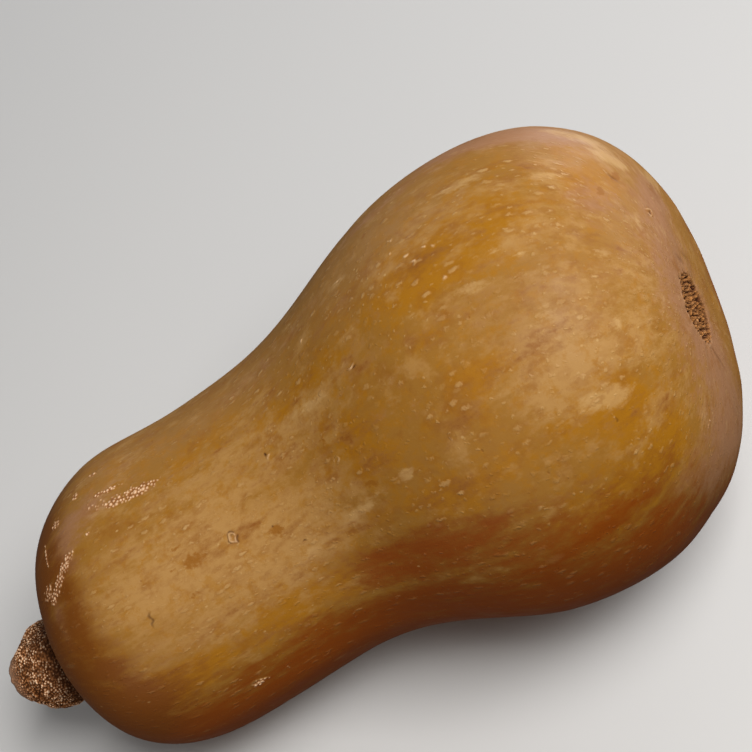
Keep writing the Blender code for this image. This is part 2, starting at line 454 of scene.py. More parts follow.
def take(piece):
    """Makes a piece the only one selected, and the active one."""
    deselect_all()
    piece.select_set(True)
    bpy.context.view_layer.objects.active = piece


def apply_modifier(piece, modifier):
    take(piece)
    bpy.ops.object.modifier_apply(modifier=modifier.name)


def read(rows, field, width=3):
    """A field of all of a mesh's vertices or of an attribute, a row for each vertex."""
    flat = np.empty(len(rows) * width)
    rows.foreach_get(field, flat)
    return flat.reshape(-1, width)


def positions(mesh):
    return read(mesh.vertices, "co")


def set_positions(mesh, points):
    mesh.vertices.foreach_set("co", np.ascontiguousarray(points, dtype=float).ravel())
    mesh.update()


def store(mesh, name, values):
    """Keeps a number or a vector for every vertex, for the materials to read."""
    values = np.asarray(values, dtype=float)
    if values.ndim == 1:
        layer = mesh.attributes.new(name, "FLOAT", "POINT")
        layer.data.foreach_set("value", values)
    else:
        layer = mesh.attributes.new(name, "FLOAT_VECTOR", "POINT")
        layer.data.foreach_set("vector", np.ascontiguousarray(values).ravel())


def soft_step(low, high, value):
    t = np.clip((value - low) / (high - low), 0.0, 1.0)
    return t * t * (3.0 - 2.0 * t)


def grain_noise(points, size, seed):
    """Smooth noise between about -1 and 1, with features of the given size."""
    shift = Vector((seed * 7.31, seed * 3.17, seed * 5.73))
    return np.array([noise.noise(Vector(p) / size + shift) for p in points])


def cell_edges(points, size, seed):
    """Distance to the nearest border between random cells, in cells."""
    shift = Vector((seed * 4.71, seed * 2.93, seed * 6.37))
    gaps = []
    for point in points:
        near = noise.voronoi(Vector(point) / size + shift)[0]
        gaps.append(near[1] - near[0])
    return np.array(gaps)


# ---------------------------------------------------------------- the body's straight shape


def swell(t):
    t = np.clip(t, 0.0, 1.0)
    return t * t * t * (t * (6.0 * t - 15.0) + 10.0)


def rounded_end(distance, length, fullness):
    inward = np.maximum(1.0 - distance / length, 0.0)
    return (1.0 - inward**fullness) ** (1.0 / fullness)


def fruit_radius(along, fruit):
    rise = swell((along - fruit.swell_start) / (fruit.swell_end - fruit.swell_start))
    body = fruit.neck_radius + (fruit.bulb_radius - fruit.neck_radius) * rise
    neck_end = rounded_end(along, NECK_END_LENGTH, NECK_END_FULLNESS)
    bulb_end = rounded_end(fruit.length - along, BULB_END_LENGTH, BULB_END_FULLNESS)
    return body * neck_end * bulb_end


class Outline:
    """The turned outline, from the blossom end down to the stem end."""

    def __init__(self, fruit):
        turn = np.linspace(0.0, math.pi, OUTLINE_STEPS + 1)
        self.along = fruit.length * (1.0 + np.cos(turn)) / 2.0
        self.radius = fruit_radius(self.along, fruit)
        hollow = STEM_HOLLOW_DEPTH * np.exp(-((self.radius / STEM_HOLLOW_RADIUS) ** 2))
        upper = self.along > fruit.length / 2.0
        self.height = np.where(upper, self.along, self.along + hollow)
        steps = np.hypot(np.diff(self.radius), np.diff(self.height))
        self.skin = np.concatenate(([0.0], np.cumsum(steps)))
        self.total = self.skin[-1]
        widest = np.argmax(self.radius)
        off_core = math.hypot(*SCAR_OFFSET)
        self.scar_skin = np.interp(off_core, self.radius[:widest], self.skin[:widest])
        self.scar_turn = math.atan2(SCAR_OFFSET[1], SCAR_OFFSET[0])

    def at(self, skin):
        """Radius, height and distance along the core at a distance over the skin."""
        return (
            np.interp(skin, self.skin, self.radius),
            np.interp(skin, self.skin, self.height),
            np.interp(skin, self.skin, self.along),
        )

    def points(self, skin, turn):
        radius, height, _ = self.at(skin)
        return np.stack([radius * np.cos(turn), radius * np.sin(turn), height], axis=-1)

    def normals(self, skin, turn):
        before = self.at(np.clip(skin - NORMAL_STEP, 0.0, self.total))
        after = self.at(np.clip(skin + NORMAL_STEP, 0.0, self.total))
        run = after[0] - before[0]
        fall = before[1] - after[1]
        size = np.hypot(run, fall)
        out = fall / size
        return np.stack([out * np.cos(turn), out * np.sin(turn), run / size], axis=-1)

    def frame(self, skin, turn):
        """A place's centre, and its directions towards the stem and round the body."""
        centre = self.points(np.array([skin]), np.array([turn]))[0]
        normal = self.normals(np.array([skin]), np.array([turn]))[0]
        around = np.array([-math.sin(turn), math.cos(turn), 0.0])
        return centre, np.cross(around, normal), around

    def local(self, mark, points):
        """Places near a mark, in its own half lengths and half widths."""
        skin = np.interp(-mark.along * MM, -self.along, self.skin)
        turn = math.radians(mark.turn)
        centre, towards_stem, around = self.frame(skin, turn)
        offset = points - centre
        x = -(offset @ towards_stem)
        y = offset @ around
        slant = math.radians(mark.slant)
        lengthwise = x * math.cos(slant) + y * math.sin(slant)
        across = y * math.cos(slant) - x * math.sin(slant)
        behind = points[:, 0] * math.cos(turn) + points[:, 1] * math.sin(turn) < 0.0
        lengthwise[behind] = FAR_AWAY
        return lengthwise / (mark.length * MM), across / (mark.width * MM)


# ---------------------------------------------------------------- fruit


def make_box():
    """A box with its end faces in a fine grid and its sides in rings."""
    deselect_all()
    bpy.ops.mesh.primitive_cube_add(size=2.0, location=(0.0, 0.0, 0.0))
    piece = bpy.context.active_object
    piece.name = "fruit_rind"
    piece.data.name = "fruit_rind"
    bpy.ops.object.mode_set(mode="EDIT")
    for upright, cuts in ((False, CAP_DIVISIONS - 1), (True, RING_DIVISIONS // 2 - 1), (True, 1)):
        bpy.ops.mesh.select_mode(type="EDGE")
        bpy.ops.mesh.select_all(action="DESELECT")
        box = bmesh.from_edit_mesh(piece.data)
        for edge in box.edges:
            rise = abs(edge.verts[0].co.z - edge.verts[1].co.z)
            edge.select_set((rise > SLIGHT) == upright)
        bmesh.update_edit_mesh(piece.data)
        bpy.ops.mesh.subdivide(number_cuts=cuts)
    bpy.ops.object.mode_set(mode="OBJECT")
    return piece


def box_to_skin(points, outline):
    """Each box point's distance over the skin from the blossom end, and its turn."""
    u, v, w = points.T
    across = u * np.sqrt(1.0 - v * v / 2.0)
    up = v * np.sqrt(1.0 - u * u / 2.0)
    reach = np.hypot(across, up)
    turn = np.arctan2(up, across)
    side_length = outline.total - BLOSSOM_CAP - STEM_CAP
    skin = BLOSSOM_CAP + (1.0 - w) / 2.0 * side_length
    skin = np.where(w > 1.0 - SLIGHT, reach * BLOSSOM_CAP, skin)
    skin = np.where(w < -1.0 + SLIGHT, outline.total - reach * STEM_CAP, skin)
    return skin, turn


def scar_plane(outline, points):
    """Each point's place in the blossom scar's plane: round the body and towards the stem."""
    centre, towards_stem, around = outline.frame(outline.scar_skin, outline.scar_turn)
    offset = points - centre
    x, y = offset @ around, offset @ towards_stem
    behind = points[:, 2] < centre[2] - SCAR_PLANE_DROP
    x[behind] = FAR_AWAY
    return x, y


def grain_lines(outline, skin, turn):
    """Where each point lies in the skin's grain, whose lines all meet at the blossom scar."""

    def swing(distance):
        return soft_step(GRAIN_SWING, 0.0, distance)

    scar = np.array([math.cos(outline.scar_turn), math.sin(outline.scar_turn)])
    scar *= outline.scar_skin / swing(outline.scar_skin)
    x = skin * np.cos(turn) - scar[0] * swing(skin)
    y = skin * np.sin(turn) - scar[1] * swing(skin)
    reach = np.hypot(x, y)
    bearing = np.arctan2(y, x)
    spread = GRAIN_RADIUS * (1.0 - np.exp(-reach / GRAIN_CLOSING))
    return np.stack([spread * np.cos(bearing), spread * np.sin(bearing), reach], axis=1)


def near_marks(outline, points, margin):
    """Whether each point is within a margin, in metres, of a small mark or the blossom scar."""
    close = np.hypot(*scar_plane(outline, points)) < SCAR_RADIUS + margin
    small = CORK + RINGS + FLECKS + DOTS + CREASES
    for mark in small + BRUISES if margin > FINEST_MARGIN else small:
        along, across = outline.local(mark, points)
        reach_along = 1.0 + margin / (mark.length * MM)
        reach_across = 1.0 + margin / (mark.width * MM)
        close |= (along / reach_along) ** 2 + (across / reach_across) ** 2 < 1.0
    return close


def refine(piece, outline, margin):
    """Halves the edges of the faces that lie within a margin of the small marks."""
    take(piece)
    skin, turn = box_to_skin(positions(piece.data), outline)
    chosen = near_marks(outline, outline.points(skin, turn), margin)
    bpy.ops.object.mode_set(mode="EDIT")
    bpy.ops.mesh.select_mode(type="FACE")
    bpy.ops.mesh.select_all(action="DESELECT")
    skin_mesh = bmesh.from_edit_mesh(piece.data)
    for face in skin_mesh.faces:
        if all(chosen[corner.index] for corner in face.verts):
            face.select_set(True)
    bmesh.update_edit_mesh(piece.data)
    bpy.ops.mesh.subdivide(number_cuts=1, ngon=False)
    bpy.ops.object.mode_set(mode="OBJECT")


def patch(outline, marks, points, power):
    """The combined strength of some soft-edged marks at each point."""
    total = np.zeros(len(points))
    for mark in marks:
        along, across = outline.local(mark, points)
        away = along * along + across * across
        total += mark.amount * np.exp(-(away**power))
    return total


def bead_field(points, spacing, seed, chosen):
    """Heights of round beads scattered over the chosen points, from 0 between them to 1."""
    order = np.random.default_rng(seed).permutation(np.flatnonzero(chosen))
    draw = np.random.default_rng(seed + 1)
    centres = np.empty((0, 3))
    sizes = []
    tops = []
    for index in order:
        gap = spacing * draw.uniform(*BEAD_GAPS)
        if len(centres) and np.min(np.sum((centres - points[index]) ** 2, axis=1)) < gap * gap:
            continue
        centres = np.vstack([centres, points[index]])
        sizes.append(gap * draw.uniform(*BEAD_RADII))
        tops.append(draw.uniform(*BEAD_TOPS))
    height = np.zeros(len(points))
    if not sizes:
        return height
    tree = KDTree(len(centres))
    for index, centre in enumerate(centres):
        tree.insert(centre, index)
    tree.balance()
    for index in np.flatnonzero(chosen):
        for _, which, away in tree.find_n(points[index], BEAD_NEIGHBOURS):
            share = away / sizes[which]
            if share < 1.0:
                rise = tops[which] * (1.0 - share * share) ** BEAD_ROUNDNESS
                height[index] = max(height[index], rise)
    return height


def shape_scar(outline, points):
    """Relief and masks of the blossom scar and of the skin drawn in round it, among them painted
    shade in its cracks and tucks and painted highlights on its rim and plates.
    """
    x, y = scar_plane(outline, points)
    y = y / SCAR_NARROWING
    away = np.hypot(x, y) / MM
    bearing = np.arctan2(y, x)
    ring = np.stack([np.cos(bearing), np.sin(bearing), np.zeros_like(bearing)], axis=1)
    core = np.flatnonzero(away < SCAR_RADIUS / MM + 5.0)
    edge = SCAR_RADIUS / MM * (1.0 + 0.10 * grain_noise(ring, 0.8, 3))
    edge[core] += 0.9 * grain_noise(points[core], 0.0011, 6)
    inside = soft_step(0.4, -0.4, away - edge)
    gaps = np.ones(len(points))
    fine_gaps = np.ones(len(points))
    lumps = np.zeros(len(points))
    wobble = 0.0006 * grain_noise(points[core], 0.0015, 4)
    flat = np.stack([x, y * SCAR_CELL_STRETCH, np.zeros_like(x)], axis=1)[core] + wobble[:, None]
    gaps[core] = cell_edges(flat, SCAR_CELL, 1)
    fine_gaps[core] = cell_edges(flat, SCAR_CELL * 0.45, 2)
    lumps[core] = grain_noise(flat, SCAR_CELL * 0.8, 5)
    crack = soft_step(0.42, 0.16, gaps) * inside * soft_step(-0.75, -0.25, lumps)
    fine_crack = soft_step(0.26, 0.06, fine_gaps) * inside * soft_step(-0.4, 0.0, lumps)
    core_side = soft_step(0.10, 0.60, -y / MM / np.maximum(away, 0.1))
    long_crack = core_side * np.exp(-(((away - edge + 1.6) / 0.7) ** 2))
    crack = np.maximum(crack, long_crack)
    rim = np.exp(-(((away - edge) / 0.6) ** 2)) * soft_step(-0.1, 0.4, lumps)
    tucks = 1.2 * grain_noise(ring, 0.30, 7) + 0.6 * grain_noise(ring, 0.12, 8)
    beyond = (away - edge).clip(0.0)
    fade = soft_step(0.0, 1.5, away - edge) * np.exp(-beyond / 6.0)
    plates = SCAR_PLATES * soft_step(0.0, 0.6, gaps)
    plates = plates - SCAR_CRACKS * crack - SCAR_FINE_CRACKS * fine_crack
    height = (
        -SCAR_HOLLOW_DEPTH / MM * np.exp(-((away * MM / SCAR_HOLLOW_REACH) ** 2))
        - SCAR_FLOOR * inside
        + SCAR_RIM * rim
        + inside * plates
        + SCAR_TUCKS * tucks * fade
    )
    # Painted shade in the scar's wide and fine cracks
    crevice_shade = np.clip(crack + 0.6 * fine_crack, 0.0, 1.0)
    # Painted highlights on the edges of the cork plates
    rim += 0.9 * inside * np.exp(-(((gaps - 0.42) / 0.10) ** 2)) * soft_step(-0.2, 0.5, lumps)
    shade = np.clip(-tucks, 0.0, 1.0) * fade
    # The rim mask also carries painted highlights, kept off the side towards the core
    return height * MM, inside, crevice_shade, rim * (1.0 - core_side), shade


def scatter_cork(outline, points):
    """Ragged patches of dry cork: how far each point is in one, and the height of its grains."""
    patches = np.clip(patch(outline, CORK, points, 2.0), 0.0, 1.0)
    close = np.flatnonzero(patches > 0.02)
    ragged = np.zeros(len(points))
    ragged[close] = grain_noise(points[close], CORK_EDGE_SIZES[0], 11)
    ragged[close] += 0.7 * grain_noise(points[close], CORK_EDGE_SIZES[1], 12)
    cork = soft_step(0.40, 0.85, patches + 0.55 * ragged)
    beads = bead_field(points, CORK_GRAIN_SPACING, 21, cork > 0.05)
    return cork, beads


def shape_fruit(piece, outline):
    """Gives the box the squash's shape, its relief and the masks its skin material reads."""
    mesh = piece.data
    skin, turn = box_to_skin(positions(mesh), outline)
    _, _, along = outline.at(skin)
    points = outline.points(skin, turn)
    normals = outline.normals(skin, turn)

    grain = grain_lines(outline, skin, turn)
    calm = soft_step(0.004, 0.035, grain[:, 2]) * soft_step(0.0, 0.030, along)
    lobes = LOBE_HEIGHT * grain_noise(grain * (1.0, 1.0, LOBE_SHARE), LOBE_SIZE, 1)
    flutes = FLUTE_HEIGHT * grain_noise(grain * (1.0, 1.0, FLUTE_SHARE), FLUTE_SIZE, 2)
    height = (lobes + flutes) * calm * MM
    for place, bearing, reach_along, reach_round, rise in SWELLINGS:
        swing = np.degrees(np.angle(np.exp(1j * (turn - math.radians(bearing)))))
        share = ((along / MM - place) / reach_along) ** 2 + (swing / reach_round) ** 2
        height += rise * MM * np.exp(-share)

    scar_height, scar, crevice_shade, rim, tucks = shape_scar(outline, points)
    height += scar_height

    cork, beads = scatter_cork(outline, points)
    height += MM * cork * (CORK_THICKNESS + CORK_GRAIN_HEIGHT * beads)

    # Without a seed, Blender sets this noise by the clock
    noise.seed_set(RAGGED_SEED)
    ragged = np.array([noise.noise_vector(Vector(p) / RAGGED_SIZE) for p in points])
    strayed = points + RAGGED_REACH * ragged
    ring_mask = np.zeros(len(points))
    ring_gap = np.zeros(len(points))
    for mark in RINGS:
        away = np.hypot(*outline.local(mark, strayed))
        ring_mask += mark.amount * np.exp(-(((away - 0.75) / 0.20) ** 2))
        ring_gap += mark.amount * np.exp(-(((away - 1.10) / 0.20) ** 2))
        ring_gap += 0.7 * mark.amount * np.exp(-(((away - 0.35) / 0.18) ** 2))
    ring_mask *= soft_step(-0.40, 0.10, ragged[:, 0])
    ring_gap *= soft_step(-0.10, 0.30, ragged[:, 1])
    dots = patch(outline, DOTS, strayed, 1.5)
    flecks = patch(outline, FLECKS, strayed, 1.5)
    creases = patch(outline, CREASES, points, 1.0)
    raised = RING_HEIGHT * ring_mask + DOT_HEIGHT * dots
    height += MM * (raised - FLECK_DEPTH * flecks - RING_GROOVE_DEPTH * ring_gap)
    height -= MM * CREASE_DEPTH * creases

    store(mesh, "grain", grain)
    by_scar = 0.2 * soft_step(0.045, 0.010, grain[:, 2])
    for name, marks in (("pale", PALE_AND_GLARE_MARKS), ("tan", TAN), ("gold", GOLD), ("rosy", ROSY_AND_SHEEN_MARKS)):
        strength = patch(outline, marks, points, 1.0) + (by_scar if marks is ROSY_AND_SHEEN_MARKS else 0.0)
        store(mesh, name, np.clip(strength, 0.0, 1.0))
    bruise = patch(outline, BRUISES, strayed, 1.2)
    # Real bruises, with painted shade in the hollows of the tucks round the scar
    store(mesh, "bruise", np.clip(bruise + 0.4 * tucks, 0.0, 1.0))
    store(mesh, "cork", np.clip(cork, 0.0, 1.0))
    store(mesh, "scar", np.clip(scar, 0.0, 1.0))
    # Painted highlights on the tops of the cork's grains and on the scar's rim and plates, with
    # the paler rings and dots
    bright = 0.85 * cork * soft_step(0.15, 0.7, beads) + 0.35 * rim + 0.5 * ring_mask + 0.8 * dots
    store(mesh, "bright", np.clip(bright, 0.0, 1.0))
    # Real dark flecks and ring outlines, with painted shade in the scar's cracks, between the
    # cork's grains and along the creases
    dark = crevice_shade + cork * soft_step(0.2, 0.0, beads) * 0.35 + flecks + 0.7 * ring_gap
    store(mesh, "dark", np.clip(dark + 0.7 * creases, 0.0, 1.0))
    # Painted shade along the underside from the marks; the skin facing down is added to it after
    # the sweep
    store(mesh, "under", np.clip(patch(outline, UNDERSIDE_SHADE_MARKS, points, 1.0), 0.0, 1.0))
    # Darker towards the stem end, partly painted shade for the stem's shadow
    brown = soft_step(34.0, 4.0, along / MM) + patch(outline, BROWN_AND_SHADE_MARKS, points, 1.0)
    store(mesh, "brown", np.clip(brown, 0.0, 1.0))
    set_positions(mesh, points + normals * height[:, None])


def store_underside_shade(mesh):
    """How far the skin faces down, where a painted shade turns it a deeper red-brown."""
    facing = read(mesh.vertex_normals, "vector")[:, 2]
    wavy = 0.12 * grain_noise(positions(mesh), 0.014, 51)
    from_scar = read(mesh.attributes["grain"].data, "vector")[:, 2]
    low = soft_step(0.42, -0.12, facing + wavy) * soft_step(0.012, 0.050, from_scar)
    under = mesh.attributes["under"].data
    under.foreach_set("value", np.maximum(low, read(under, "value", 1)[:, 0]))


def make_growth_line():
    curve = bpy.data.curves.new("growth_line", "CURVE")
    curve.dimensions = "3D"
    curve.resolution_u = CURVE_RESOLUTION
    spline = curve.splines.new("BEZIER")
    spline.bezier_points.add(len(GROWTH_LINE) - 1)
    for point, place in zip(spline.bezier_points, GROWTH_LINE):
        point.co = place
        point.handle_left_type = "AUTO"
        point.handle_right_type = "AUTO"
    line = bpy.data.objects.new("growth_line", curve)
    bpy.context.scene.collection.objects.link(line)
    return line


def sweep(piece):
    """Bends a straight piece along the growth line, and moves it to its place in the frame."""
    line = make_growth_line()
    bend = piece.modifiers.new("follow_growth", "CURVE")
    bend.object = line
    bend.deform_axis = "POS_Z"
    bpy.context.view_layer.update()
    apply_modifier(piece, bend)
    curve = line.data
    bpy.data.objects.remove(line, do_unlink=True)
    bpy.data.curves.remove(curve)
    points = positions(piece.data)
    points[:, 0] += FRUIT_BOX[1].x - SWEPT_REACH[0]
    points[:, 1] += FRUIT_BOX[1].y - SWEPT_REACH[1]
    points[:, 2] = np.maximum(points[:, 2], 0.0)
    set_positions(piece.data, points)


def finish_piece(piece, material, node):
    piece.data.materials.clear()
    piece.data.materials.append(material)
    piece.data.shade_smooth()
    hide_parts(node)
    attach(piece, "root")


# ---------------------------------------------------------------- stem


def fix_numbering(cage):
    """Remakes a cage's faces in the order of their corners.

    Extrude and inset number them in another order on each run.  The smoothed stem's points
    follow that order, and its beads are scattered by the points' numbers.
    """
    cage.verts.index_update()
    rings = []
    for face in cage.faces:
        corners = [corner.index for corner in face.verts]
        first = corners.index(min(corners))
        rings.append(corners[first:] + corners[:first])
    bmesh.ops.delete(cage, geom=[*cage.edges, *cage.faces], context="EDGES_FACES")
    cage.verts.ensure_lookup_table()
    for number, ring in enumerate(sorted(rings)):
        cage.faces.new([cage.verts[index] for index in ring]).index = number
    cage.faces.sort()


def make_stem_cage(stem):
    """The stem's stub as a closed, many-sided cage of rings from the fruit to its cut end."""
    deselect_all()
    start, start_radius = STEM_RINGS[0]
    bpy.ops.mesh.primitive_circle_add(
        vertices=2 * stem.ridges,
        radius=start_radius,
        fill_type="NGON",
        location=(0.0, 0.0, -start),
    )
    piece = bpy.context.active_object
    piece.name = "stem_stub"
    piece.data.name = "stem_stub"
    bpy.ops.object.transform_apply(location=True, rotation=True, scale=True)
    bpy.ops.object.mode_set(mode="EDIT")
    bpy.ops.mesh.select_mode(type="VERT")
    bpy.ops.mesh.select_all(action="DESELECT")
    cage = bmesh.from_edit_mesh(piece.data)
    cage.verts.ensure_lookup_table()
    for corner in cage.verts:
        side = round(math.atan2(corner.co.x, corner.co.y) / (math.pi / stem.ridges))
        corner.select_set(side % 2 == 1)
    bmesh.update_edit_mesh(piece.data)
    bpy.ops.transform.resize(value=(stem.groove, stem.groove, 1.0), center_override=(0, 0, 0))
    bpy.ops.mesh.select_all(action="SELECT")
    distance, radius = start, start_radius
    for next_distance, next_radius in STEM_RINGS[1:]:
        drop = (0.0, 0.0, distance - next_distance)
        bpy.ops.mesh.extrude_region_move(TRANSFORM_OT_translate={"value": drop})
        share = next_radius / radius
        bpy.ops.transform.resize(value=(share, share, 1.0), center_override=(0, 0, 0))
        distance, radius = next_distance, next_radius
    for thickness, depth in STEM_END_INSETS:
        bpy.ops.mesh.inset(thickness=thickness)
        bpy.ops.transform.translate(value=(0.0, 0.0, depth))
    bpy.ops.mesh.select_all(action="SELECT")
    bpy.ops.mesh.normals_make_consistent(inside=False)
    cage = bmesh.from_edit_mesh(piece.data)
    fix_numbering(cage)
    bmesh.update_edit_mesh(piece.data)
    bpy.ops.object.mode_set(mode="OBJECT")
    return piece


def shape_stem(piece, stem):
    """The stem's lumps, beads and torn cut end, and the masks its cork material reads."""
    smooth = piece.modifiers.new("smooth", "SUBSURF")
    smooth.levels = STEM_SMOOTHING
    smooth.render_levels = STEM_SMOOTHING
    apply_modifier(piece, smooth)
    mesh = piece.data
    points = positions(mesh)
    normals = read(mesh.vertex_normals, "vector")
    away = -points[:, 2]
    cut = soft_step(0.40, 0.75, -normals[:, 2]) * soft_step(0.0115, 0.0150, away)
    lumps = grain_noise(points, 0.0055, 31) + 0.5 * grain_noise(points, 0.0026, 32)
    stretched = points * (1.0, 1.0, 0.35)
    fissures = 1.0 - np.abs(grain_noise(stretched, 0.0021, 33)) * 2.2
    fissures = soft_step(0.55, 1.0, fissures) * (1.0 - cut)
    beads = bead_field(points, stem.bead_spacing, 41, points[:, 2] < 0.0015)
    beads *= 1.0 - 0.5 * soft_step(0.1, 0.5, grain_noise(points, 0.0042, 37))
    rows = soft_step(0.1, 0.9, 1.0 - 2.2 * np.abs(grain_noise(points, 0.0030, 35)))
    grit = grain_noise(points, 0.0007, 34)
    height = MM * (
        STEM_LUMP_HEIGHT * lumps
        + STEM_WRINKLE_HEIGHT * grain_noise(points, 0.0016, 36)
        - STEM_FISSURE_DEPTH * fissures
        + (1.0 - 0.8 * cut) * (STEM_BEAD_HEIGHT * beads + STEM_ROW_HEIGHT * rows)
        + STEM_GRIT_HEIGHT * grit
    )
    for place, reach, rise in STEM_LUMPS:
        away_from = np.linalg.norm(points - place, axis=1)
        height += rise * MM * np.exp(-((away_from / reach) ** 2))
    points = points + normals * height[:, None]
    # Masks for painted light: highlights on the bead tops, shade in the fissures and next to the
    # fruit
    store(mesh, "bead", np.clip(beads * (0.55 + 0.45 * rows) * (1.0 - 0.75 * cut), 0.0, 1.0))
    store(mesh, "fissure", np.clip(0.6 * fissures, 0.0, 1.0))
    store(mesh, "cut", cut)
    store(mesh, "base", soft_step(0.0080, 0.0, away))
    store(mesh, "rows", rows)
    points[:, 0] += STEM_OFFSET[0]
    points[:, 1] += STEM_OFFSET[1]
    set_positions(mesh, points)


# ---------------------------------------------------------------- materials


class Finish:
    """A material's nodes, wired one after another."""

    def __init__(self, name):
        self.material = bpy.data.materials.new(name)
        self.material.use_nodes = True
        self.tree = self.material.node_tree
        self.shader = self.tree.nodes["Principled BSDF"]

    def node(self, kind, inputs=(), **settings):
        made = self.tree.nodes.new(kind)
        for key, value in settings.items():
            setattr(made, key, value)
        for key, value in dict(inputs).items():
            self.put(value, made.inputs[key])
        return made

    def put(self, value, socket):
        if isinstance(value, bpy.types.NodeSocket):
            self.tree.links.new(value, socket)
        else:
            socket.default_value = value

    def attribute(self, name, output="Fac"):
        return self.node("ShaderNodeAttribute", attribute_name=name).outputs[output]

    def place(self):
        return self.node("ShaderNodeTexCoord").outputs["Object"]

    def math(self, operation, *values):
        return self.node("ShaderNodeMath", enumerate(values), operation=operation).outputs[0]

    def times(self, first, second):
        return self.math("MULTIPLY", first, second)

    def larger(self, first, second):
        return self.math("MAXIMUM", first, second)

    def vector_math(self, operation, *values):
        made = self.node("ShaderNodeVectorMath", enumerate(values), operation=operation)
        return made.outputs[0]

    def draw_out(self, vector, share):
        """Places for a pattern that reads only a share of each height, and so is drawn out."""
        return self.vector_math("MULTIPLY", vector, (1.0, 1.0, share))

    def range(self, value, low, high, to_low=0.0, to_high=1.0):
        inputs = {"Value": value, "From Min": low, "From Max": high}
        inputs.update({"To Min": to_low, "To Max": to_high})
        made = self.node("ShaderNodeMapRange", inputs, interpolation_type="SMOOTHSTEP")
        return made.outputs["Result"]

    def noise(self, vector, size, detail=2.0, roughness=0.5):
        inputs = {"Vector": vector, "Scale": 1.0 / size, "Detail": detail}
        inputs["Roughness"] = roughness
        return self.node("ShaderNodeTexNoise", inputs).outputs["Fac"]

    def cells(self, vector, size):
        """Distance from each cell's centre, in cells, and the cell's own random number."""
        made = self.node("ShaderNodeTexVoronoi", {"Vector": vector, "Scale": 1.0 / size})
        split = self.node("ShaderNodeSeparateColor", {"Color": made.outputs["Color"]})
        return made.outputs["Distance"], split.outputs[0]

    def cell_borders(self, vector, size):
        """Distance to the nearest border between random cells, in cells."""
        inputs = {"Vector": vector, "Scale": 1.0 / size}
        made = self.node("ShaderNodeTexVoronoi", inputs, feature="DISTANCE_TO_EDGE")
        return made.outputs["Distance"]

    def stray(self, vector, size, reach):
        """The same places, each shifted a little to and fro."""
        made = self.node("ShaderNodeTexNoise", {"Vector": vector, "Scale": 1.0 / size})
        offset = self.vector_math("SUBTRACT", made.outputs["Color"], (0.5, 0.5, 0.5))
        return self.vector_math("MULTIPLY_ADD", offset, (2.0 * reach,) * 3, vector)

    def specks(self, vector, length_share, size, radius, share):
        """Soft round specks, some fainter, in a share of the cells, and the halos round them."""
        if length_share != 1.0:
            vector = self.draw_out(vector, length_share)
        away, chance = self.cells(vector, size)
        kept = self.range(chance, 1.0 - share, 1.0)
        speck = self.times(self.range(away, radius, radius * 0.35), kept)
        halo = self.range(away, radius * 2.2, radius * 1.3)
        return speck, self.times(halo, kept)

    def total(self, *parts):
        """A sum of values, each times its own share."""
        whole = 0.0
        for value, share in parts:
            whole = self.math("MULTIPLY_ADD", value, share, whole)
        return whole

    def mix(self, share, first, second):
        made = self.node("ShaderNodeMix", {0: share}, data_type="RGBA")
        for value, socket in ((first, made.inputs[6]), (second, made.inputs[7])):
            if isinstance(value, bpy.types.NodeSocket):
                self.put(value, socket)
            else:
                socket.default_value = (*value, 1.0)
        return made.outputs[2]

    def bump(self, height, strength, distance):
        inputs = {"Height": height, "Strength": strength, "Distance": distance}
        made = self.node("ShaderNodeBump", inputs)
        self.put(made.outputs["Normal"], self.shader.inputs["Normal"])


def skin_patterns(rind, grain, place):
    """The noises that the skin's colours are mixed by, each under its own name."""
    patterns = {}
    for name, (share, size, detail, roughness) in SKIN_PATTERNS.items():
        places = rind.draw_out(grain, share) if share else place
        patterns[name] = rind.noise(places, size, detail, roughness)
    return SimpleNamespace(**patterns)


